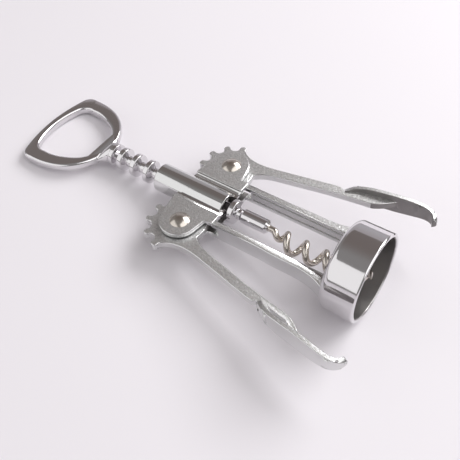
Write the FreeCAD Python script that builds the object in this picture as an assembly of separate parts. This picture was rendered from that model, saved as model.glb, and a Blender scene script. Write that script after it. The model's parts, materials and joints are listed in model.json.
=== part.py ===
import FreeCAD, Part
import math
import os

V = FreeCAD.Vector

# Wing corkscrew with an opener ring for a handle. All sizes are in mm.
# The tool is drawn along X: the bell's mouth is at x = 0 and the handle lies toward -X.
# The levers lie in the XY plane, the right one toward +Y and the left one toward -Y.
# At the end the finished tool is laid on a table, resting on the bell and the ring.

# Bell: the cup that sits over the bottle's neck
BELL_R = 19.2
BELL_LENGTH = 15.5
BELL_TAPER = 0.1
BELL_WALL = 1.9
BELL_TOP_WALL = 2.8
BELL_HOLE_R = 11.2
BELL_SHOULDER = 3.0
BELL_RIM_BEVEL = 0.5

# Rails: the two bars between the gear case and the bell
RAIL_INNER_Y = 10.9
RAIL_THICKNESS = 2.7
RAIL_WIDTH = 8.0
RAIL_FLARE_INSET = 1.6
RAIL_FLARE_LENGTH = 16.0
RAIL_FILLET = 0.5

# Gear case: two lug plates with a slot for the levers, and the barrel that guides the rack
CASE_NEAR_X = -67.5
CASE_FAR_X = -91.2
CASE_TOP_Z = 4.3
SLOT_HALF = 2.1
SLOT_NEAR_X = -64.5
SLOT_FAR_X = -91.0
VALLEY_HALF_Y = 8.0
VALLEY_Z = 3.1
LUG_ROUND_R = 8.4
LUG_ROUND_SHIFT = 0.5
LUG_FOOT_Y = 6.7
BARREL_R = 6.4
BARREL_BORE_R = 5.4
BARREL_FAR_X = -104.5
BARREL_NEAR_X = -69.2

# Gear pair: an annular rack on the shaft and a toothed sector on each lever
MODULE = 2.4
TEETH_PER_TURN = 12
PRESSURE_ANGLE = 20.0
RACK_PITCH_R = 4.4
RACK_ROOT_R = 2.5
RACK_TOOTH_WIDTH = 3.0
RACK_BEADS = 9
RACK_FIRST_X = -125.9
RACK_EDGE_ROUND = 0.6
GEAR_ADDENDUM = 0.95
GEAR_DEDENDUM = 2.3
GEAR_TOOTH_WIDTH = 2.9
GEAR_TIP_ROUND = 0.9
GEAR_ROOT_ROUND = 0.9
SECTOR_TEETH = 7
SECTOR_LAST_ANGLE = -102.4
PIVOT_X = -80.0
RUNNING_CLEARANCE = 0.08

# Levers
LEVER_THICKNESS = 3.2
HUB_R = 10.2
THUMB_WALL = 2.0
THUMB_HALF_HEIGHT = 4.5

# Rivets that the levers turn on
RIVET_R = 2.4
RIVET_HEAD_R = 4.25
RIVET_HEAD_HEIGHT = 1.7

# Opener handle
RING_THICKNESS = 4.0
RING_EDGE_ROUND = 1.3
NECK_END_X = -130.0
NECK_R = 5.25
NECK_BULGE = 0.35

# Ferrule and worm
FERRULE_R = 3.1
FERRULE_FAR_X = -61.8
FERRULE_NEAR_X = -48.6
FERRULE_CHAMFER = 1.0
WORM_WIRE_R = 1.37
WORM_COIL_R = 3.4
WORM_PITCH = 8.2
WORM_STRETCH = 0.16
WORM_TURNS = 5.15
WORM_START_X = -49.0
WORM_PHASE = 5.0
WORM_OFF_CENTRE = 2.3
WORM_OFF_ANGLE = 215.0
WORM_SEAT_DEPTH = 7.3
WORM_STRAIGHT_TURNS = 0.3
WORM_RUN_OUT_TURNS = 0.8
WORM_POINT_LENGTH = 4.5
WORM_TIP_R = 0.2

# Worked out from the sizes above
PITCH_R = MODULE * TEETH_PER_TURN / 2
TOOTH_PITCH = math.pi * MODULE
BEAD_R = BARREL_BORE_R - RUNNING_CLEARANCE
PIVOT_Y = RACK_PITCH_R + PITCH_R
GEAR_TIP_R = PITCH_R + GEAR_ADDENDUM
GEAR_ROOT_R = PITCH_R - GEAR_DEDENDUM
BELL_BORE_R = BELL_R - BELL_WALL
RAIL_OUTER_Y = RAIL_INNER_Y + RAIL_THICKNESS
RAIL_FLARE = BELL_R - RAIL_FLARE_INSET - RAIL_OUTER_Y
RAIL_END_X = -BELL_LENGTH + BELL_SHOULDER / 3
X_AXIS = V(1, 0, 0)
Y_AXIS = V(0, 1, 0)
Z_AXIS = V(0, 0, 1)


def box(x0, x1, y0, y1, z0, z1):
    return Part.makeBox(x1 - x0, y1 - y0, z1 - z0, V(x0, y0, z0))


def rod(radius, x0, x1, y=0.0, z=0.0):
    """Round bar along X."""
    return Part.makeCylinder(radius, x1 - x0, V(x0, y, z), X_AXIS)


def pin(radius, x, y, z0, z1):
    """Round bar along Z."""
    return Part.makeCylinder(radius, z1 - z0, V(x, y, z0), Z_AXIS)


def mirrored(shape):
    """The same piece on the left side of the tool."""
    return shape.mirror(V(0, 0, 0), Y_AXIS)


def spline(points):
    curve = Part.BSplineCurve()
    curve.interpolate([V(x, y, 0) for x, y in points])
    return curve.toShape()


def line(a, b):
    return Part.makeLine(V(a[0], a[1], 0), V(b[0], b[1], 0))


def arc(a, middle, b):
    return Part.Arc(V(*a, 0), V(*middle, 0), V(*b, 0)).toShape()


def plate(edges, z0, z1):
    """Flat piece between two heights, from its outline in the XY plane."""
    wire = Part.Wire(Part.__sortEdges__(edges))
    face = Part.Face(wire)
    face.translate(V(0, 0, z0))
    return face.extrude(V(0, 0, z1 - z0))


def turned(profile):
    """Solid of revolution about X from (x, radius) points joined by straight lines."""
    points = [V(x, r, 0) for x, r in profile]
    face = Part.Face(Part.makePolygon(points + points[:1]))
    return face.revolve(V(0, 0, 0), X_AXIS, 360)


def tangent_point(point, centre, radius, side):
    """Where a line from a point touches a circle; side picks the left or right one."""
    away = math.hypot(point[0] - centre[0], point[1] - centre[1])
    toward = math.atan2(point[1] - centre[1], point[0] - centre[0])
    angle = toward + side * math.acos(radius / away)
    return (centre[0] + radius * math.cos(angle), centre[1] + radius * math.sin(angle))


def lug_plate(z0, z1):
    """One lug on the right side: straight flanks that run into a round about the rivet."""
    centre = (PIVOT_X - LUG_ROUND_SHIFT, PIVOT_Y)
    foot_far = (CASE_FAR_X, LUG_FOOT_Y)
    foot_near = (CASE_NEAR_X - 3.6, RAIL_OUTER_Y)
    far = tangent_point(foot_far, centre, LUG_ROUND_R, -1)
    near = tangent_point(foot_near, centre, LUG_ROUND_R, 1)
    top = (centre[0], centre[1] + LUG_ROUND_R)
    edges = [
        line((CASE_FAR_X, 0), foot_far),
        line(foot_far, far),
        arc(far, top, near),
        line(near, foot_near),
        line(foot_near, (CASE_NEAR_X, RAIL_OUTER_Y)),
        line((CASE_NEAR_X, RAIL_OUTER_Y), (CASE_NEAR_X, 0)),
        line((CASE_NEAR_X, 0), (CASE_FAR_X, 0)),
    ]
    return plate(edges, z0, z1)


def gear_case():
    """Lug plates, their slot and the barrel, in one casting."""
    right = lug_plate(-CASE_TOP_Z, CASE_TOP_Z)
    body = right.fuse(mirrored(right)).removeSplitter()
    for z0, z1 in ((VALLEY_Z, CASE_TOP_Z), (-CASE_TOP_Z, -VALLEY_Z)):
        valley = box(CASE_FAR_X, CASE_NEAR_X, -VALLEY_HALF_Y, VALLEY_HALF_Y, z0, z1)
        body = body.cut(valley)
    body = body.fuse(rod(BARREL_R, BARREL_FAR_X, BARREL_NEAR_X))
    reach = 2 * PIVOT_Y
    slot = box(SLOT_FAR_X, SLOT_NEAR_X, -reach, reach, -SLOT_HALF, SLOT_HALF)
    body = body.cut(slot)
    body = body.cut(rod(BARREL_BORE_R, BARREL_FAR_X - 1, CASE_NEAR_X + 1))
    for side in (1, -1):
        hole = pin(RIVET_R, PIVOT_X, side * PIVOT_Y, -CASE_TOP_Z, CASE_TOP_Z)
        body = body.cut(hole)
    return body.removeSplitter()


def flare_edge():
    """Outer side of a rail where it widens into the bell's shoulder."""
    return spline([
        (RAIL_END_X - RAIL_FLARE_LENGTH * 1.8, RAIL_OUTER_Y),
        (RAIL_END_X - RAIL_FLARE_LENGTH, RAIL_OUTER_Y + 0.06 * RAIL_FLARE),
        (RAIL_END_X - RAIL_FLARE_LENGTH * 0.4, RAIL_OUTER_Y + 0.3 * RAIL_FLARE),
        (RAIL_END_X, RAIL_OUTER_Y + RAIL_FLARE),
    ])


def rail():
    """Right-hand rail, with the end of the lever slot in its root."""
    flare_x = RAIL_END_X - RAIL_FLARE_LENGTH * 1.8
    edges = [
        line((CASE_NEAR_X, RAIL_INNER_Y), (RAIL_END_X, RAIL_INNER_Y)),
        line((RAIL_END_X, RAIL_INNER_Y), (RAIL_END_X, RAIL_OUTER_Y + RAIL_FLARE)),
        flare_edge(),
        line((flare_x, RAIL_OUTER_Y), (CASE_NEAR_X, RAIL_OUTER_Y)),
        line((CASE_NEAR_X, RAIL_OUTER_Y), (CASE_NEAR_X, RAIL_INNER_Y)),
    ]
    body = plate(edges, -RAIL_WIDTH / 2, RAIL_WIDTH / 2)
    long_edges = [e for e in body.Edges if is_long_rail_edge(e)]
    body = body.makeFillet(RAIL_FILLET, long_edges)
    slot = box(CASE_NEAR_X - 1, SLOT_NEAR_X, 0, 2 * RAIL_OUTER_Y, -SLOT_HALF, SLOT_HALF)
    return body.cut(slot).cut(revolved(bell_outside() + [(0, 0), (-BELL_LENGTH, 0)]))


def is_long_rail_edge(edge):
    bounds = edge.BoundBox
    return bounds.XLength > RAIL_FLARE_LENGTH and bounds.ZLength < 0.01


def bell_outside():
    """Outer outline of the bell, from where the shoulder begins to the rim."""
    top_r = BELL_R - BELL_TAPER
    return [
        (-BELL_LENGTH, top_r - BELL_SHOULDER),
        (-BELL_LENGTH + BELL_SHOULDER, top_r),
        (-BELL_RIM_BEVEL, BELL_R),
        (0, BELL_R - BELL_RIM_BEVEL),
    ]


def revolved(outline):
    """Body of revolution whose outline starts with the bell's rounded shoulder."""
    top_r = BELL_R - BELL_TAPER
    sagitta = BELL_SHOULDER * (1 - math.sqrt(0.5))
    edges = [line(a, b) for a, b in zip(outline, outline[1:] + outline[:1])]
    edges[0] = arc(outline[0], (-BELL_LENGTH + sagitta, top_r - sagitta), outline[1])
    face = Part.Face(Part.Wire(edges))
    return face.revolve(V(0, 0, 0), X_AXIS, 360)


def bell():
    """Cup with a thin rim, a rounded shoulder and a round way through its top."""
    floor_x = -BELL_LENGTH + BELL_TOP_WALL
    return revolved(bell_outside() + [
        (0, BELL_BORE_R + BELL_RIM_BEVEL),
        (-BELL_RIM_BEVEL, BELL_BORE_R),
        (floor_x, BELL_BORE_R),
        (floor_x, BELL_HOLE_R),
        (-BELL_LENGTH, BELL_HOLE_R),
    ])


def involute(angle):
    return math.tan(angle) - angle


def half_tooth_angle(radius):
    """Half the angle that a lever's tooth spans at a radius, in degrees."""
    pressure = math.radians(PRESSURE_ANGLE)
    base_r = PITCH_R * math.cos(pressure)
    at_radius = math.acos(base_r / max(radius, base_r))
    half = GEAR_TOOTH_WIDTH / (2 * PITCH_R) + involute(pressure) - involute(at_radius)
    return math.degrees(half)


def at_pivot(radius, angle):
    """Point about the right pivot; 0 degrees looks at the handle, 90 away from the shaft."""
    turn = math.radians(angle)
    return (PIVOT_X - radius * math.cos(turn), PIVOT_Y + radius * math.sin(turn))


def tooth_edges(angle):
    """Flank, round tip and flank of one tooth of the sector."""
    foot_r = GEAR_ROOT_R + GEAR_ROOT_ROUND
    steps = [foot_r, (foot_r + PITCH_R) / 2, PITCH_R, GEAR_TIP_R - GEAR_TIP_ROUND]
    rise = [at_pivot(r, angle + half_tooth_angle(r)) for r in steps]
    fall = [at_pivot(r, angle - half_tooth_angle(r)) for r in reversed(steps)]
    return [spline(rise), arc(rise[-1], at_pivot(GEAR_TIP_R, angle), fall[0]), spline(fall)]


def sector_edges():
    """All teeth of the sector with the hollows between them, from outside to inside."""
    step = 360.0 / TEETH_PER_TURN
    foot_r = GEAR_ROOT_R + GEAR_ROOT_ROUND
    foot_half = half_tooth_angle(foot_r)
    edges = []
    for i in reversed(range(SECTOR_TEETH)):
        angle = SECTOR_LAST_ANGLE + i * step
        edges += tooth_edges(angle)
        if i:
            start = at_pivot(foot_r, angle - foot_half)
            middle = at_pivot(GEAR_ROOT_R, angle - step / 2)
            end = at_pivot(foot_r, angle - step + foot_half)
            edges.append(arc(start, middle, end))
    first = at_pivot(foot_r, SECTOR_LAST_ANGLE + (SECTOR_TEETH - 1) * step + foot_half)
    last = at_pivot(foot_r, SECTOR_LAST_ANGLE - foot_half)
    return edges, first, last


def lever_bar():
    """Flat lever with its toothed sector, right side, before the thumb plate is added."""
    teeth, first, last = sector_edges()
    hub_end = at_pivot(HUB_R, 169.0)
    hub_middle = at_pivot((GEAR_ROOT_R + HUB_R) / 2, -151.0)
    inner = [hub_end, (-64.0, 24.3), (-56.0, 26.2), (-43.0, 29.0), (-32.0, 31.0), (-21.8, 32.5)]
    heel = [inner[-1], (-17.2, 33.7), (-13.6, 36.2), (-7.0, 41.2)]
    outer = [(-34.0, 35.0), (-48.8, 32.2), (-60.0, 29.9), (-70.0, 28.4), (-76.5, 29.1), first]
    notch = (-32.8, 34.0)
    edges = teeth + [
        arc(last, hub_middle, hub_end),
        spline(inner),
        spline(heel),
        line(heel[-1], (-24.0, 37.6)),
        line((-24.0, 37.6), notch),
        line(notch, outer[0]),
        spline(outer),
    ]
    half = LEVER_THICKNESS / 2
    return plate(edges, -half, half)


THUMB_CURVE = [(-32.6, 34.2), (-29.0, 36.9), (-18.0, 39.8), (-7.0, 41.6), (0.0, 42.5),
               (4.6, 41.9), (7.2, 40.0), (8.2, 37.6)]


def thumb_plate():
    """Leaf-shaped plate square to the lever, its tip curled in toward the bell."""
    outer = Part.BSplineCurve()
    outer.interpolate([V(x, y, 0) for x, y in THUMB_CURVE])
    count = 12
    inner_points = []
    for i in range(count + 1):
        t = outer.FirstParameter + (outer.LastParameter - outer.FirstParameter) * i / count
        along = outer.tangent(t)[0]
        place = outer.value(t)
        inner_points.append((place.x + along.y * THUMB_WALL, place.y - along.x * THUMB_WALL))
    start = THUMB_CURVE[0]
    end = THUMB_CURVE[-1]
    edges = [
        outer.toShape(),
        line(end, inner_points[-1]),
        spline(inner_points),
        line(inner_points[0], start),
    ]
    height = THUMB_HALF_HEIGHT
    band = plate(edges, -height - 1, height + 1)
    return band.common(leaf_window(height))


def leaf_window(height):
    """Side outline of the thumb plate, drawn through the full width of the tool."""
    upper = [(-33.6, 0.0), (-31.5, 0.42 * height), (-26.0, 0.8 * height), (-15.0, height),
             (-5.0, 0.95 * height), (2.0, 0.78 * height), (6.6, 0.5 * height), (8.6, 0.0)]
    lower = [(x, -z) for x, z in reversed(upper)]
    window = plate([spline(upper), spline(lower)], 20.0, 60.0)
    window.rotate(V(0, 0, 0), X_AXIS, 90)
    window.translate(V(0, 80.0, 0))
    return window


def lever():
    """Right lever: bar, teeth, thumb plate and the hole that turns on the rivet."""
    body = lever_bar().fuse(thumb_plate()).removeSplitter()
    hole = pin(RIVET_R + RUNNING_CLEARANCE, PIVOT_X, PIVOT_Y, -CASE_TOP_Z, CASE_TOP_Z)
    return body.cut(hole)


def rivet():
    """Right rivet: a shank through the case and a domed head at each end."""
    body = pin(RIVET_R, PIVOT_X, PIVOT_Y, -CASE_TOP_Z, CASE_TOP_Z)
    dome_r = (RIVET_HEAD_R ** 2 + RIVET_HEAD_HEIGHT ** 2) / (2 * RIVET_HEAD_HEIGHT)
    for side in (1, -1):
        base = side * CASE_TOP_Z
        centre_z = base - side * (dome_r - RIVET_HEAD_HEIGHT)
        ball = Part.makeSphere(dome_r, V(PIVOT_X, PIVOT_Y, centre_z))
        z0 = min(base, base + side * 2 * dome_r)
        slab = pin(RIVET_HEAD_R + 1, PIVOT_X, PIVOT_Y, z0, z0 + 2 * dome_r)
        body = body.fuse(ball.common(slab))
    return body.removeSplitter()


def rack_bead(x):
    """One ring tooth of the rack, with straight flanks and rounded edges."""
    slope = math.tan(math.radians(PRESSURE_ANGLE))
    half_root = RACK_TOOTH_WIDTH / 2 + (RACK_PITCH_R - RACK_ROOT_R) * slope
    half_tip = RACK_TOOTH_WIDTH / 2 - (BEAD_R - RACK_PITCH_R) * slope
    sunk = RACK_ROOT_R - 0.5
    bead = turned([
        (x - half_root, sunk),
        (x - half_root, RACK_ROOT_R),
        (x - half_tip, BEAD_R),
        (x + half_tip, BEAD_R),
        (x + half_root, RACK_ROOT_R),
        (x + half_root, sunk),
    ])
    rims = [e for e in bead.Edges if abs(e.BoundBox.YLength / 2 - BEAD_R) < 0.01]
    return bead.makeFillet(RACK_EDGE_ROUND, rims)


def rack_shaft():
    """Steel shaft with its ring teeth; it runs from the handle's neck to the ferrule."""
    body = rod(RACK_ROOT_R, NECK_END_X, FERRULE_FAR_X)
    for i in range(RACK_BEADS):
        body = body.fuse(rack_bead(RACK_FIRST_X + i * TOOTH_PITCH))
    return body.removeSplitter()


def ring_outer():
    """Half outline of the opener ring, from the far apex to the neck, at +Y."""
    far = (-172.8, 0.0)
    corner = [(-169.9, 19.6), (-168.1, 22.6), (-164.0, 23.7)]
    side = [corner[-1], (-156.0, 23.2), (-149.2, 21.2), (-143.4, 17.6), (-139.3, 13.0),
            (-136.6, 8.3)]
    return far, corner, side


def ring_inner():
    """Half outline of the opening, from the far apex to the straight lip, at +Y."""
    far = (-169.3, 0.0)
    corner = [(-166.6, 13.6), (-164.3, 15.9), (-160.5, 16.3)]
    side = [corner[-1], (-154.5, 15.9), (-148.6, 13.9), (-143.6, 11.0), (-141.2, 8.4)]
    return far, corner, side


def half_loop(far, corner, side):
    """Far arc, corner and side of one half; the other half is its mirror image."""
    middle_x = far[0] + (corner[0][0] - far[0]) * 0.26
    return [
        arc(far, (middle_x, corner[0][1] * 0.5), corner[0]),
        arc(*corner),
        spline(side),
    ]


def ring_plate():
    """Flat ring with a D-shaped opening and rounded edges."""
    half = RING_THICKNESS / 2
    loops = []
    for outline, z0, z1 in ((ring_outer(), -half, half), (ring_inner(), -2 * half, 2 * half)):
        end = outline[2][-1]
        edges = half_loop(*outline)
        edges += [e.mirror(V(0, 0, 0), Y_AXIS) for e in half_loop(*outline)]
        edges.append(line(end, (end[0], -end[1])))
        loops.append(plate(edges, z0, z1))
    ring = loops[0].cut(loops[1])
    rims = [e for e in ring.Edges if is_ring_rim(e)]
    return ring.makeFillet(RING_EDGE_ROUND, rims)


def is_ring_rim(edge):
    bounds = edge.BoundBox
    return bounds.ZLength < 0.01 and bounds.XMin < ring_outer()[2][-1][0] - 0.1


def oval(x, half_y, half_z):
    """Elliptical section across the neck."""
    if half_y - half_z < 0.01:
        return Part.Wire(Part.makeCircle(half_y, V(x, 0, 0), X_AXIS))
    ellipse = Part.Ellipse(V(x, half_y, 0), V(x, 0, half_z), V(x, 0, 0))
    return Part.Wire(ellipse.toShape())


def neck():
    """Web between ring and shaft: wide and flat at the ring, round at the rack."""
    edge_x = ring_outer()[2][-1][0]
    sections = [
        oval(edge_x - 1.6, 8.4, 1.2),
        oval(edge_x + 0.2, 7.6, 2.4),
        oval(edge_x + 2.4, 5.8, 4.6),
        oval(NECK_END_X - 2.0, NECK_R + 0.002, NECK_R - 0.002),
    ]
    web = Part.makeLoft(sections, True, False)
    collar = rod(NECK_R + NECK_BULGE, NECK_END_X - 2.2, NECK_END_X)
    rims = [e for e in collar.Edges if isinstance(e.Curve, Part.Circle)]
    collar = collar.makeFillet(0.9, rims)
    return web.fuse(collar)


def opener_handle():
    """Turning handle: the bottle opener ring with its neck."""
    body = ring_plate().fuse(neck())
    start = (ring_inner()[2][-1][0], ring_inner()[2][-1][1])
    gap = box(start[0] - 12, start[0], -start[1], start[1], -RING_THICKNESS, RING_THICKNESS)
    return body.cut(gap).removeSplitter()


def ferrule():
    """Sleeve that clamps the worm's shank to the end of the rack shaft."""
    sleeve = rod(FERRULE_R, FERRULE_FAR_X, FERRULE_NEAR_X)
    rims = [e for e in sleeve.Edges if isinstance(e.Curve, Part.Circle)]
    sleeve = sleeve.makeChamfer(FERRULE_CHAMFER, rims)
    return sleeve.cut(rod(WORM_WIRE_R, FERRULE_NEAR_X - WORM_SEAT_DEPTH, FERRULE_NEAR_X))


def worm_point(turns):
    """Centre line of the worm after so many turns; before the first it is a straight shank."""
    grow = max(0.0, min(1.0, (turns - WORM_STRAIGHT_TURNS) / WORM_RUN_OUT_TURNS))
    grow = grow * grow * (3 - 2 * grow)
    off = math.radians(WORM_OFF_ANGLE)
    angle = math.radians(WORM_PHASE) + 2 * math.pi * turns
    y = grow * (WORM_OFF_CENTRE * math.cos(off) + WORM_COIL_R * math.cos(angle))
    z = grow * (WORM_OFF_CENTRE * math.sin(off) + WORM_COIL_R * math.sin(angle))
    stretch = WORM_STRETCH * max(0.0, turns) ** 2
    return V(WORM_START_X + WORM_PITCH * turns + stretch, y, z)


def worm_path(first, last):
    """Smooth path along the coil between two counts of turns."""
    steps = max(8, math.ceil(12 * (last - first)))
    points = [worm_point(first + (last - first) * i / steps) for i in range(steps + 1)]
    step = (last - first) / steps
    curve = Part.BSplineCurve()
    slopes = []
    for turns in (first, last):
        slopes.append((worm_point(turns + 0.01) - worm_point(turns - 0.01)) * (step / 0.02))
    curve.interpolate(points, InitialTangent=slopes[0], FinalTangent=slopes[1])
    return curve.toShape()


def worm():
    """Round wire wound to the right, with a straight shank and a ground point."""
    shank_x = FERRULE_NEAR_X - WORM_SEAT_DEPTH
    coil = worm_path((shank_x - WORM_START_X) / WORM_PITCH, WORM_TURNS)
    section = Part.Wire(Part.makeCircle(WORM_WIRE_R, V(shank_x, 0, 0), X_AXIS))
    body = Part.Wire([coil]).makePipeShell([section], True, False)
    along = worm_point(WORM_TURNS + 0.01) - worm_point(WORM_TURNS - 0.01)
    along.normalize()
    start = worm_point(WORM_TURNS) - along * WORM_WIRE_R / 4
    point = Part.makeCone(0.96 * WORM_WIRE_R, WORM_TIP_R, WORM_POINT_LENGTH, start, along)
    return body.fuse(point)


def lean_angle():
    """Lean in degrees at which the bell's shoulder and the ring's far edge touch the table."""
    shoulder_x = -BELL_LENGTH + BELL_SHOULDER
    shoulder_z = -(BELL_R - BELL_TAPER - BELL_SHOULDER)
    ring_x = ring_outer()[0][0] + RING_EDGE_ROUND
    ring_z = -(RING_THICKNESS / 2 - RING_EDGE_ROUND)
    run = shoulder_x - ring_x
    rise = ring_z - shoulder_z
    round_gap = BELL_SHOULDER - RING_EDGE_ROUND
    return math.degrees(math.atan2(rise, run) + math.asin(round_gap / math.hypot(run, rise)))


def place_on_table(shapes):
    """Lean the tool until bell and ring both rest on the table, origin under its middle."""
    for shape in shapes.values():
        shape.rotate(V(0, 0, 0), Y_AXIS, -lean_angle())
    bounds = Part.makeCompound(list(shapes.values())).optimalBoundingBox(False, False)
    shift = V(-(bounds.XMin + bounds.XMax) / 2, 0, -bounds.ZMin)
    for shape in shapes.values():
        shape.translate(shift)
    return shift


def make_nodes():
    """Every node's solid by name, still lying along X."""
    right = {"rail": rail(), "lever": lever(), "rivet": rivet()}
    shapes = {
        "gear_case": gear_case(),
        "bell": bell(),
        "rack_shaft": rack_shaft(),
        "opener_handle": opener_handle(),
        "ferrule": ferrule(),
        "worm": worm(),
    }
    for name, shape in right.items():
        shapes[name + "_right"] = shape
        shapes[name + "_left"] = mirrored(shape)
    return shapes


def main():
    shapes = make_nodes()
    place_on_table(shapes)
    os.makedirs("parts", exist_ok=True)
    for name, shape in shapes.items():
        shape.exportStep(os.path.join("parts", name + ".step"))


if __name__ == "__main__":
    main()
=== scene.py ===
import json
import math

import bmesh
import bpy
from mathutils import Matrix, Vector

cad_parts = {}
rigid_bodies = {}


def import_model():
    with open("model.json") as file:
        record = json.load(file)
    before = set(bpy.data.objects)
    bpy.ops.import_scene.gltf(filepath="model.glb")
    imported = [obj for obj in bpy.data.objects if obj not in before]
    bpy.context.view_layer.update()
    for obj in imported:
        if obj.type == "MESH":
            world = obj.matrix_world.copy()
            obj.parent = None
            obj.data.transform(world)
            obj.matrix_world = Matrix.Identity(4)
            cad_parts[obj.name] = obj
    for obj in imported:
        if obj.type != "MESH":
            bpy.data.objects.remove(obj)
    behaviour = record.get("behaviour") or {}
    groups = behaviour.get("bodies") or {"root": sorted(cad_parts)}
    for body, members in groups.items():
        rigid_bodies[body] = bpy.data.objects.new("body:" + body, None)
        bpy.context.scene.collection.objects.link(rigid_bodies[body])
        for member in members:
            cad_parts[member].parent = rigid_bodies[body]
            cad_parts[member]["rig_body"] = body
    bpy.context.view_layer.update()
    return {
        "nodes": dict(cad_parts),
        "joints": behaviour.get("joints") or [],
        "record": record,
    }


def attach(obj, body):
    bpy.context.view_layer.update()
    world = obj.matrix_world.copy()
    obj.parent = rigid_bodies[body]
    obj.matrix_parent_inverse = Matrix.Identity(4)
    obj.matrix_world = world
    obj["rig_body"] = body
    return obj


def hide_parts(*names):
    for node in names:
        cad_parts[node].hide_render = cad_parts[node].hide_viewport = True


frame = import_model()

MM = 0.001
nodes = frame["nodes"]
joints = {joint["name"]: joint for joint in frame["joints"]}

# Directions of the tool as it lies, leaning a little toward its handle
AXIS = Vector(joints["shaft_slide"]["axis"])
UP = Vector(joints["right_swing"]["axis"])
SIDE = UP.cross(AXIS)
PIVOT = Vector(joints["right_swing"]["pos_m"])
PIVOT_X = -80.0
MOUTH = PIVOT - SIDE * PIVOT.y - AXIS * PIVOT_X * MM
LYING = Matrix.Translation(MOUTH) @ (Matrix((AXIS, SIDE, UP)).transposed() * MM).to_4x4()


def at(x, y, z):
    """Point given in mm along the tool: x from the bell's mouth, y to the right, z up."""
    return MOUTH + (AXIS * x + SIDE * y + UP * z) * MM


def linear(code):
    """sRGB hex colour as the linear values that the shaders take."""
    values = []
    for i in (0, 2, 4):
        c = int(code[i:i + 2], 16) / 255
        values.append(c / 12.92 if c <= 0.04045 else ((c + 0.055) / 1.055) ** 2.4)
    return (*values, 1.0)


def add_node(tree, kind, values=None, links=None, **settings):
    """A node with its settings, its input values and what feeds its inputs."""
    node = tree.nodes.new(kind)
    for name, value in settings.items():
        setattr(node, name, value)
    for key, value in (values or {}).items():
        node.inputs[key].default_value = value
    for key, output in (links or {}).items():
        tree.links.new(output, node.inputs[key])
    return node


def new_material(name, color, metallic, roughness):
    """Material with a Principled shader; returns it with its tree and shader."""
    material = bpy.data.materials.new(name)
    material.use_nodes = True
    tree = material.node_tree
    shader = tree.nodes["Principled BSDF"]
    shader.inputs["Base Color"].default_value = linear(color)
    shader.inputs["Metallic"].default_value = metallic
    shader.inputs["Roughness"].default_value = roughness
    return material, tree, shader


def polished_chrome():
    """Chrome over buffed zinc: a near mirror with a slow ripple left by the buffing wheel."""
    material, tree, shader = new_material("polished_chrome", "DEDCDE", 1.0, 0.07)
    coords = add_node(tree, "ShaderNodeTexCoord")
    ripple = add_node(tree, "ShaderNodeTexNoise", {"Scale": 1 / (7 * MM), "Detail": 1.0},
                      {"Vector": coords.outputs["Object"]})
    bump = add_node(tree, "ShaderNodeBump", {"Strength": 0.3, "Distance": 0.06 * MM},
                    {"Height": ripple.outputs["Fac"]})
    tree.links.new(bump.outputs["Normal"], shader.inputs["Normal"])
    # Faint hazy patches, as fingers and handling leave on bright plating
    haze = add_node(tree, "ShaderNodeTexNoise", {"Scale": 1 / (12 * MM), "Detail": 3.0},
                    {"Vector": coords.outputs["Object"]})
    spread = add_node(tree, "ShaderNodeMapRange", {"To Min": 0.05, "To Max": 0.13},
                      {"Value": haze.outputs["Fac"]})
    tree.links.new(spread.outputs["Result"], shader.inputs["Roughness"])
    return material


BARREL_HALF = 6.3


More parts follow.
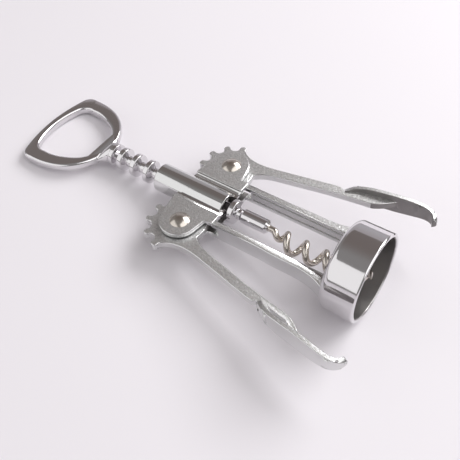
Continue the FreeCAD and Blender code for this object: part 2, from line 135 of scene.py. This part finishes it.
def satin_chrome():
    """Chrome over tumbled zinc: grey flats with a fine sparkle, bright buffed sides."""
    material, tree, shader = new_material("satin_chrome", "DAD8D6", 1.0, 0.3)
    coords = add_node(tree, "ShaderNodeTexCoord")
    # The grit is 0.7 mm here, coarser than the real 0.1 mm, so that it shows.
    grit = add_node(tree, "ShaderNodeTexNoise", {"Scale": 1 / (0.7 * MM), "Detail": 3.0},
                    {"Vector": coords.outputs["Object"]})
    # Flats face up or down and lie outside the round barrel; the rest is buffed.
    surface = add_node(tree, "ShaderNodeNewGeometry")
    facing = add_node(tree, "ShaderNodeVectorMath", {1: UP}, {0: surface.outputs["Normal"]},
                      operation="DOT_PRODUCT")
    upright = add_node(tree, "ShaderNodeMath", {}, {0: facing.outputs["Value"]},
                       operation="ABSOLUTE")
    flat = add_node(tree, "ShaderNodeMapRange", {"From Min": 0.9, "From Max": 0.98},
                    {"Value": upright.outputs[0]})
    place = add_node(tree, "ShaderNodeSeparateXYZ", {}, {0: coords.outputs["Object"]})
    away = add_node(tree, "ShaderNodeMath", {}, {0: place.outputs["Y"]}, operation="ABSOLUTE")
    outside = add_node(tree, "ShaderNodeMath", {1: BARREL_HALF * MM}, {0: away.outputs[0]},
                       operation="GREATER_THAN")
    satin = add_node(tree, "ShaderNodeMath", {}, {0: flat.outputs["Result"],
                                                  1: outside.outputs[0]}, operation="MULTIPLY")
    # Uneven tumbling: patches about 1 mm across that shine more or less than the rest
    patches = add_node(tree, "ShaderNodeTexNoise", {"Scale": 1 / (1.1 * MM), "Detail": 4.0,
                                                    "Roughness": 0.7},
                       {"Vector": coords.outputs["Object"]})
    shine = add_node(tree, "ShaderNodeMapRange", {"From Min": 0.35, "From Max": 0.65,
                                                  "To Min": 0.29, "To Max": 0.52},
                     {"Value": patches.outputs["Fac"]})
    # Painted sparkle and shade: the same patches are made lighter and darker in colour, standing
    # for the light they catch and the shade the pits between them hold.
    sparkle_and_pit_shade = add_node(tree, "ShaderNodeMapRange", {"From Min": 0.38, "From Max": 0.62,
                                                 "To Min": 0.83, "To Max": 0.54},
                    {"Value": patches.outputs["Fac"]})
    value = add_node(tree, "ShaderNodeMapRange", {"To Min": 0.7},
                     {"Value": satin.outputs[0], "To Max": sparkle_and_pit_shade.outputs["Result"]})
    tree.links.new(value.outputs["Result"], shader.inputs["Base Color"])
    rough = add_node(tree, "ShaderNodeMapRange", {"To Min": 0.09},
                     {"Value": satin.outputs[0], "To Max": shine.outputs["Result"]})
    tree.links.new(rough.outputs["Result"], shader.inputs["Roughness"])
    strength = add_node(tree, "ShaderNodeMapRange", {"To Min": 0.03, "To Max": 1.0},
                        {"Value": satin.outputs[0]})
    bump = add_node(tree, "ShaderNodeBump", {"Distance": 0.18 * MM},
                    {"Height": grit.outputs["Fac"], "Strength": strength.outputs["Result"]})
    tree.links.new(bump.outputs["Normal"], shader.inputs["Normal"])
    return material


def nickel_steel():
    """Nickel over drawn steel: warmer and softer than chrome, with faint drawing marks."""
    material, tree, shader = new_material("nickel_steel", "CFC8C0", 1.0, 0.2)
    coords = add_node(tree, "ShaderNodeTexCoord")
    draw = add_node(tree, "ShaderNodeTexNoise", {"Scale": 1 / (1.2 * MM), "Detail": 3.0},
                    {"Vector": coords.outputs["Object"]})
    bump = add_node(tree, "ShaderNodeBump", {"Strength": 0.3, "Distance": 0.02 * MM},
                    {"Height": draw.outputs["Fac"]})
    tree.links.new(bump.outputs["Normal"], shader.inputs["Normal"])
    return material


def bare_casting_and_shade():
    """Zinc as cast, under thin plating: the grey inner faces that no wheel reaches, made darker as
    painted shade in the hollows.
    """
    material, tree, shader = new_material("bare_casting_and_shade", "8A8786", 1.0, 0.3)
    coords = add_node(tree, "ShaderNodeTexCoord")
    skin = add_node(tree, "ShaderNodeTexNoise", {"Scale": 1 / (0.8 * MM), "Detail": 4.0},
                    {"Vector": coords.outputs["Object"]})
    tone = add_node(tree, "ShaderNodeMapRange", {"To Min": 0.32, "To Max": 0.55},
                    {"Value": skin.outputs["Fac"]})
    tree.links.new(tone.outputs["Result"], shader.inputs["Roughness"])
    bump = add_node(tree, "ShaderNodeBump", {"Strength": 0.4, "Distance": 0.05 * MM},
                    {"Height": skin.outputs["Fac"]})
    tree.links.new(bump.outputs["Normal"], shader.inputs["Normal"])
    return material


finishes = {
    "polished_chrome": polished_chrome(),
    "satin_chrome": satin_chrome(),
    "nickel_steel": nickel_steel(),
}
# Bare casting for the inner faces; its dark grey is also painted shade in the slot, bore and
# hollows
bare_and_shade = bare_casting_and_shade()
subparts = {part["node"]: part for part in frame["record"]["subparts"]}
for name, node in nodes.items():
    node.data.materials.clear()
    node.data.materials.append(finishes[subparts[name]["material_slot"]])


def finish_piece(piece, name):
    """Put a piece in place of a CAD node: same body, same finish."""
    slot = "polished_chrome" if name == "ferrule" else subparts[name]["material_slot"]
    if not piece.data.materials:
        piece.data.materials.append(finishes[slot])
        piece.data.materials.append(bare_and_shade)
    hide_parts(name)
    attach(piece, nodes[name]["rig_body"])


# Where the bare casting shows, its darker grey standing as painted shade, in mm along and out from
# the tool's axis
HOLLOW_FROM_X, HOLLOW_R = -13.0, 17.5
SLOT_HALF, BORE_R = 2.2, 5.6
THUMB_FROM_X, THUMB_FROM_Y = -32.0, 33.0


def is_inner(name, place, normal):
    """Whether a face is in the slot, the bore, the bell's hollow or a thumb plate's back, where the
    darker grey paints shade.
    """
    x, y, z = LYING.inverted() @ place
    out = math.hypot(y, z)
    if name == "bell":
        return x > HOLLOW_FROM_X and out < HOLLOW_R
    if name == "gear_case":
        outward = (normal - AXIS * normal.dot(AXIS)).dot(SIDE * y + UP * z)
        in_slot = abs(z) < SLOT_HALF and abs(normal.dot(UP)) > 0.9
        return in_slot or (out < BORE_R and outward < 0)
    looks_in = normal.dot(SIDE) * y < -0.3 * abs(y)
    return x > THUMB_FROM_X and abs(y) > THUMB_FROM_Y and looks_in


RIB_HEIGHTS = ((1.3, 2.1), (-2.3, -1.5))
RIB_ENDS_X = (-63.5, -15.0)
RIB_TOP_Y, RIB_FOOT_Y = 10.55, 11.2
RIB_DRAFT = 0.3


def add_ribs(form, side):
    """Two low lengthwise ribs on a rail's inner face, left by the parting of the die."""
    for low, high in RIB_HEIGHTS:
        ends = []
        for x in RIB_ENDS_X:
            corners = ((RIB_FOOT_Y, low - RIB_DRAFT), (RIB_TOP_Y, low), (RIB_TOP_Y, high),
                       (RIB_FOOT_Y, high + RIB_DRAFT))
            ends.append([form.verts.new(at(x, side * y, z)) for y, z in corners])
        form.faces.new(ends[0])
        form.faces.new(reversed(ends[1]))
        for i in range(4):
            k = (i + 1) % 4
            form.faces.new((ends[0][i], ends[1][i], ends[1][k], ends[0][k]))


# The neck's collar lies past this x, and is brought down to this radius.
NECK_FROM_X = -133.5
NECK_R = 5.3


def smooth_neck(form):
    """Neck of one thickness up to the first bead, without a step at its collar."""
    for vert in form.verts:
        x, y, z = LYING.inverted() @ vert.co
        out = math.hypot(y, z)
        if x > NECK_FROM_X and out > NECK_R:
            vert.co = at(x, y * NECK_R / out, z * NECK_R / out)


# Rings cut just inside the bell's rounded ends, so its side reflects as a true cylinder
BELL_RINGS_X = (-0.65, -0.9, -12.1, -12.4)


def hold_side(form):
    """Narrow bands beside the bell's rounded ends, to keep the shading of its side even."""
    for x in BELL_RINGS_X:
        everything = list(form.verts) + list(form.edges) + list(form.faces)
        bmesh.ops.bisect_plane(form, geom=everything, plane_co=at(x, 0, 0), plane_no=AXIS)


# Edges nearer to the axis than this belong to the bore and stay sharp.
BORE_EDGE_R = 5.9
BEVEL_FROM_ANGLE = math.radians(35)


def mark_outer_edges(form):
    """Weight the sharp outward edges, so that no bevel fills a corner or nears the bore."""
    weight = form.edges.layers.float.new("bevel_weight_edge")
    for edge in form.edges:
        places = [LYING.inverted() @ vert.co for vert in edge.verts]
        nearest = min(math.hypot(place.y, place.z) for place in places)
        sharp = edge.calc_face_angle(0.0) > BEVEL_FROM_ANGLE
        edge[weight] = float(sharp and edge.is_convex and nearest > BORE_EDGE_R)


WELD = 0.003 * MM
FLAT_WITHIN = math.radians(0.4)
SHARP_FROM_ANGLE = math.radians(28)


def merged_copy(name, edge_round):
    """CAD mesh with its loose triangles joined and its flat faces made whole."""
    node = nodes[name]
    mesh = bpy.data.meshes.new(name + "_cast")
    form = bmesh.new()
    form.from_mesh(node.data)
    form.transform(node.matrix_world)
    bmesh.ops.remove_doubles(form, verts=form.verts, dist=WELD)
    bmesh.ops.dissolve_degenerate(form, edges=form.edges, dist=WELD)
    if edge_round:
        bmesh.ops.dissolve_limit(form, angle_limit=FLAT_WITHIN, verts=form.verts,
                                 edges=form.edges)
    if name == "opener_handle":
        smooth_neck(form)
    if name == "bell":
        hold_side(form)
    if name.startswith("rail"):
        add_ribs(form, 1 if name.endswith("right") else -1)
    bmesh.ops.recalc_face_normals(form, faces=form.faces)
    if edge_round:
        mark_outer_edges(form)
    form.to_mesh(mesh)
    form.free()
    mesh.shade_smooth()
    mesh.set_sharp_from_angle(angle=SHARP_FROM_ANGLE)
    piece = bpy.data.objects.new(name + "_cast", mesh)
    bpy.context.scene.collection.objects.link(piece)
    return piece


def cast_piece(name, edge_round):
    """Casting with its sharp edges broken by plating and buffing."""
    piece = merged_copy(name, edge_round)
    if edge_round:
        bevel = piece.modifiers.new("edges", "BEVEL")
        bevel.width = edge_round * MM
        bevel.segments = 2
        bevel.limit_method = "WEIGHT"
        bevel.use_clamp_overlap = False
        bevel.harden_normals = True
        bevel.miter_outer = "MITER_ARC"
    finish_piece(piece, name)
    if name in ("gear_case", "bell", "lever_right", "lever_left"):
        # Inner faces take the second, darker material: painted shade in the slot, bore, bell hollow
        # and thumb backs
        for face in piece.data.polygons:
            face.material_index = int(is_inner(name, face.center, face.normal))


# Radius of the broken edges in mm; the pieces at 0 have their rounds in the CAD part
EDGE_ROUNDS = {
    "gear_case": 0.4, "lever_right": 0.4, "lever_left": 0.4, "rail_right": 0.0,
    "rail_left": 0.0, "bell": 0.0, "opener_handle": 0.0, "ferrule": 0.15,
    "rivet_right": 0.0, "rivet_left": 0.0,
}
for name, edge_round in EDGE_ROUNDS.items():
    cast_piece(name, edge_round)


def new_group(name, inputs, output):
    """Geometry-nodes group with named number inputs and one output."""
    tree = bpy.data.node_groups.new(name, "GeometryNodeTree")
    for label, value in inputs.items():
        socket = tree.interface.new_socket(label, in_out="INPUT", socket_type="NodeSocketFloat")
        socket.default_value = value
    tree.interface.new_socket("Result", in_out="OUTPUT", socket_type=output)
    return tree, tree.nodes.new("NodeGroupInput").outputs, tree.nodes.new("NodeGroupOutput")


def calculate(tree, operation, *values):
    """Result of one step of arithmetic on sockets and plain numbers."""
    node = add_node(tree, "ShaderNodeMath", operation=operation)
    for i, value in enumerate(values):
        if isinstance(value, (int, float)):
            node.inputs[i].default_value = value
        else:
            tree.links.new(value, node.inputs[i])
    return node.outputs[0]


def grown_piece(name, tree, settings, material):
    """Plain mesh made by a geometry-nodes group, laid in the tool's place."""
    empty = bpy.data.meshes.new(name + "_seed")
    piece = bpy.data.objects.new(name, empty)
    bpy.context.scene.collection.objects.link(piece)
    modifier = piece.modifiers.new("grow", "NODES")
    modifier.node_group = tree
    for item in tree.interface.items_tree:
        if item.in_out == "INPUT" and item.name in settings:
            modifier[item.identifier] = settings[item.name]
    piece.update_tag()
    graph = bpy.context.evaluated_depsgraph_get()
    mesh = bpy.data.meshes.new_from_object(piece.evaluated_get(graph))
    piece.modifiers.clear()
    piece.data = mesh
    mesh.name = name
    mesh.transform(LYING)
    form = bmesh.new()
    form.from_mesh(mesh)
    bmesh.ops.remove_doubles(form, verts=form.verts, dist=0.001 * MM)
    bmesh.ops.recalc_face_normals(form, faces=form.faces)
    form.to_mesh(mesh)
    form.free()
    mesh.materials.clear()
    mesh.materials.append(material)
    mesh.shade_smooth()
    return piece


def swept_wire(tree, place, scale, radius, count, around, material):
    """Nodes that lay a line of points by a field and sweep a circle along it.

    A radius of None leaves a circle of 1, so that the scale alone gives the size.
    """
    base = add_node(tree, "GeometryNodeCurvePrimitiveLine")
    fine = add_node(tree, "GeometryNodeResampleCurve", {"Count": count}, {"Curve": base.outputs[0]})
    laid = add_node(tree, "GeometryNodeSetPosition", {}, {"Geometry": fine.outputs[0],
                                                         "Position": place})
    circle = add_node(tree, "GeometryNodeCurvePrimitiveCircle", {"Resolution": around},
                      {"Radius": radius} if radius else {})
    skin = add_node(tree, "GeometryNodeCurveToMesh", {"Fill Caps": True},
                    {"Curve": laid.outputs[0], "Profile Curve": circle.outputs[0],
                     "Scale": scale})
    painted = add_node(tree, "GeometryNodeSetMaterial", {"Material": material},
                       {"Geometry": skin.outputs[0]})
    real = add_node(tree, "GeometryNodeRealizeInstances", {}, {"Geometry": painted.outputs[0]})
    return real.outputs[0]


# Rack: straight shaft with ring teeth, drawn as a radius that changes along the shaft
RACK = {
    "Far end": -130.0, "Near end": -61.8, "Root radius": 2.5, "Bead radius": 5.32,
    "Pitch radius": 4.4, "Bead width": 3.0, "Flank slope": 2.747, "First bead": -125.9,
    "Pitch": 2.4 * math.pi, "Beads": 9.0, "Rim round": 0.9,
}
RACK_POINTS, RACK_AROUND = 680, 56
RACK_SHARP_FROM_ANGLE = math.radians(45)


def rack_tree(material):
    """Group that sweeps the shaft and its ring teeth from one outline."""
    tree, given, result = new_group("rack shaft", RACK, "NodeSocketGeometry")
    along = add_node(tree, "GeometryNodeSplineParameter").outputs["Factor"]
    x = add_node(tree, "ShaderNodeMapRange", {}, {"Value": along, "To Min": given["Far end"],
                                                  "To Max": given["Near end"]}).outputs[0]
    # Distance to the nearest bead's middle, the first and last bead included
    from_first = calculate(tree, "SUBTRACT", x, given["First bead"])
    number = calculate(tree, "ROUND", calculate(tree, "DIVIDE", from_first, given["Pitch"]))
    last = calculate(tree, "SUBTRACT", given["Beads"], 1.0)
    number = calculate(tree, "MAXIMUM", calculate(tree, "MINIMUM", number, last), 0.0)
    centre = calculate(tree, "MULTIPLY", number, given["Pitch"])
    away = calculate(tree, "ABSOLUTE", calculate(tree, "SUBTRACT", from_first, centre))
    half = calculate(tree, "MULTIPLY", given["Bead width"], 0.5)
    inside = calculate(tree, "SUBTRACT", half, away)
    flank = calculate(tree, "MULTIPLY_ADD", inside, given["Flank slope"], given["Pitch radius"])
    tip = calculate(tree, "SMOOTH_MIN", flank, given["Bead radius"], given["Rim round"])
    outline = calculate(tree, "MAXIMUM", tip, given["Root radius"])
    place = add_node(tree, "ShaderNodeCombineXYZ", {}, {"X": x}).outputs[0]
    shape = swept_wire(tree, place, outline, None, RACK_POINTS, RACK_AROUND, material)
    tree.links.new(shape, result.inputs[0])
    return tree


# Worm: the same wire as in the CAD part, with its straight shank and ground point
WORM = {
    "Start": -49.0, "Pitch": 8.2, "Stretch": 0.16, "Coil radius": 3.4, "Phase": math.radians(5),
    "Off centre": 2.3, "Off angle": math.radians(215), "Straight turns": 0.3,
    "Run out turns": 0.8,
}
WORM_SHANK_X = -55.9
WORM_FIRST = (WORM_SHANK_X - WORM["Start"]) / WORM["Pitch"]
WORM_LAST = 5.15
WORM_WIRE_R = 1.37
WORM_POINT_LENGTH = 4.5
WORM_TIP_R = 0.2
WORM_POINTS, WORM_AROUND = 420, 28
# The last twentieth of the points make the straight ground point.
WORM_GROUND_FROM = 0.95


def coil_tree():
    """Group that gives the point on the worm's centre line after so many turns."""
    tree, given, result = new_group("coil point", {"Turns": 0.0, **WORM}, "NodeSocketVector")
    turns = given["Turns"]
    end = calculate(tree, "ADD", given["Straight turns"], given["Run out turns"])
    grow = add_node(tree, "ShaderNodeMapRange", {},
                    {"Value": turns, "From Min": given["Straight turns"], "From Max": end},
                    interpolation_type="SMOOTHSTEP").outputs[0]
    angle = calculate(tree, "MULTIPLY_ADD", turns, 2 * math.pi, given["Phase"])
    sides = []
    for turn in ("COSINE", "SINE"):
        off = calculate(tree, "MULTIPLY", calculate(tree, turn, given["Off angle"]),
                        given["Off centre"])
        reach = calculate(tree, "MULTIPLY_ADD", calculate(tree, turn, angle),
                          given["Coil radius"], off)
        sides.append(calculate(tree, "MULTIPLY", reach, grow))
    wound = calculate(tree, "MAXIMUM", turns, 0.0)
    stretch = calculate(tree, "MULTIPLY", calculate(tree, "POWER", wound, 2.0), given["Stretch"])
    x = calculate(tree, "MULTIPLY_ADD", turns, given["Pitch"],
                  calculate(tree, "ADD", given["Start"], stretch))
    point = add_node(tree, "ShaderNodeCombineXYZ", {}, {"X": x, "Y": sides[0], "Z": sides[1]})
    tree.links.new(point.outputs[0], result.inputs[0])
    return tree


def worm_tree(material):
    """Group that sweeps the worm's wire and draws its end out to a point."""
    given_names = {**WORM, "First turn": WORM_FIRST, "Last turn": WORM_LAST,
                   "Wire radius": WORM_WIRE_R, "Point length": WORM_POINT_LENGTH,
                   "Tip radius": WORM_TIP_R}
    tree, given, result = new_group("worm", given_names, "NodeSocketGeometry")
    coil = coil_tree()

    def point_after(turns):
        group = add_node(tree, "GeometryNodeGroup", {}, {}, node_tree=coil)
        tree.links.new(turns, group.inputs["Turns"])
        for label in WORM:
            tree.links.new(given[label], group.inputs[label])
        return group.outputs[0]

    along = add_node(tree, "GeometryNodeSplineParameter").outputs["Factor"]
    turns = add_node(tree, "ShaderNodeMapRange", {"From Max": WORM_GROUND_FROM},
                     {"Value": along, "To Min": given["First turn"],
                      "To Max": given["Last turn"]}).outputs[0]
    ground = add_node(tree, "ShaderNodeMapRange", {"From Min": WORM_GROUND_FROM},
                      {"Value": along}).outputs[0]
    end = point_after(given["Last turn"])
    before = point_after(calculate(tree, "SUBTRACT", given["Last turn"], 0.01))
    heading = add_node(tree, "ShaderNodeVectorMath", {}, {0: end, 1: before},
                       operation="SUBTRACT")
    heading = add_node(tree, "ShaderNodeVectorMath", {}, {0: heading.outputs[0]},
                       operation="NORMALIZE")
    reach = calculate(tree, "MULTIPLY", ground, given["Point length"])
    tail = add_node(tree, "ShaderNodeVectorMath", {}, {0: heading.outputs[0], "Scale": reach},
                    operation="SCALE")
    place = add_node(tree, "ShaderNodeVectorMath", {},
                     {0: point_after(turns), 1: tail.outputs[0]}, operation="ADD")
    scale = add_node(tree, "ShaderNodeMapRange", {"To Min": 1.0,
                                                  "To Max": WORM_TIP_R / WORM_WIRE_R},
                     {"Value": ground}).outputs[0]
    shape = swept_wire(tree, place.outputs[0], scale, given["Wire radius"], WORM_POINTS,
                       WORM_AROUND, material)
    tree.links.new(shape, result.inputs[0])
    return tree


rack = grown_piece("rack_beads", rack_tree(finishes["polished_chrome"]), RACK,
                   finishes["polished_chrome"])
rack.data.set_sharp_from_angle(angle=RACK_SHARP_FROM_ANGLE)
finish_piece(rack, "rack_shaft")
worm = grown_piece("worm_wire", worm_tree(finishes["nickel_steel"]), WORM,
                   finishes["nickel_steel"])
finish_piece(worm, "worm")

# Camera where the photograph was taken from, fitted to the tool's own outline
FRAME_PIXELS = 460
FOCAL_PIXELS = 690.2
SENSOR = 36.0
CAMERA_PLACE = (51.4, -155.5, 216.2)
CAMERA_AZIMUTH = 37.71
CAMERA_ELEVATION = 49.51
CAMERA_ROLL = -4.15


def make_camera():
    """Camera turned in the tool's own frame, then laid into the table's."""
    azimuth = math.radians(CAMERA_AZIMUTH)
    elevation = math.radians(CAMERA_ELEVATION)
    roll = math.radians(CAMERA_ROLL)
    back = Vector((math.sin(azimuth) * math.cos(elevation),
                   -math.cos(azimuth) * math.cos(elevation),
                   math.sin(elevation)))
    level = Vector((math.cos(azimuth), math.sin(azimuth), 0))
    rise = back.cross(level)
    right = level * math.cos(roll) + rise * math.sin(roll)
    top = rise * math.cos(roll) - level * math.sin(roll)
    tool = Matrix((AXIS, SIDE, UP)).transposed()
    turn = tool @ Matrix((right, top, back)).transposed()
    data = bpy.data.cameras.new("camera")
    data.sensor_width = SENSOR
    data.lens = FOCAL_PIXELS * SENSOR / FRAME_PIXELS
    camera = bpy.data.objects.new("camera", data)
    camera.matrix_world = Matrix.Translation(at(*CAMERA_PLACE)) @ turn.to_4x4()
    bpy.context.scene.collection.objects.link(camera)
    bpy.context.scene.camera = camera


make_camera()


FLOOR_HALF = 3.0


def make_floor():
    """Pale table that carries the tool, large enough to fill the view."""
    half = FLOOR_HALF
    mesh = bpy.data.meshes.new("floor")
    corners = [(-half, -half, 0), (half, -half, 0), (half, half, 0), (-half, half, 0)]
    mesh.from_pydata(corners, [], [(0, 1, 2, 3)])
    floor = bpy.data.objects.new("floor", mesh)
    bpy.context.scene.collection.objects.link(floor)
    mesh.materials.append(new_material("pale_table", "E6E2E7", 0.0, 0.7)[0])


make_floor()


def area_light(name, direction, distance, size, power, color="FFFFFF"):
    """Soft light that looks at the tool from a direction in the table's frame."""
    data = bpy.data.lights.new(name, "AREA")
    data.shape = "RECTANGLE"
    data.size, data.size_y = size
    data.energy = power
    data.color = linear(color)[:3]
    light = bpy.data.objects.new(name, data)
    light.location = Vector(direction).normalized() * distance
    light.rotation_euler = (-Vector(direction)).to_track_quat("-Z", "Y").to_euler()
    bpy.context.scene.collection.objects.link(light)


# Window behind the tool, ceiling over it, a pale wall at the back, a soft panel at the left
area_light("window", (0.3, 0.85, 0.75), 1.3, (0.9, 0.75), 14.0)
area_light("ceiling", (0.75, 0.0, 1.0), 1.3, (1.3, 1.3), 7.0)
area_light("back_wall", (-0.3, 0.9, 0.3), 1.0, (1.4, 0.6), 0.6, "F4F0FA")
area_light("left_panel", (-0.5, -0.75, 0.5), 0.9, (1.5, 0.8), 3.0)

# Room: mid-grey walls with a darker curtain behind the tool, which the flat tops mirror
CURTAIN = Vector((-0.40, 0.51, 0.76))
world = bpy.data.worlds.new("studio")
bpy.context.scene.world = world
world.use_nodes = True
room = world.node_tree
look = add_node(room, "ShaderNodeTexCoord")
toward = add_node(room, "ShaderNodeVectorMath", {1: CURTAIN}, {0: look.outputs["Generated"]},
                  operation="DOT_PRODUCT")
curtain = add_node(room, "ShaderNodeMapRange", {"From Min": 0.72, "From Max": 0.99},
                   {"Value": toward.outputs["Value"]}, interpolation_type="SMOOTHSTEP")
tone = add_node(room, "ShaderNodeMix", {"A": linear("8E8C8B"), "B": linear("7A726F")},
                {"Factor": curtain.outputs["Result"]}, data_type="RGBA")
room.links.new(tone.outputs["Result"], room.nodes["Background"].inputs["Color"])

bpy.context.scene.view_settings.view_transform = "Standard"
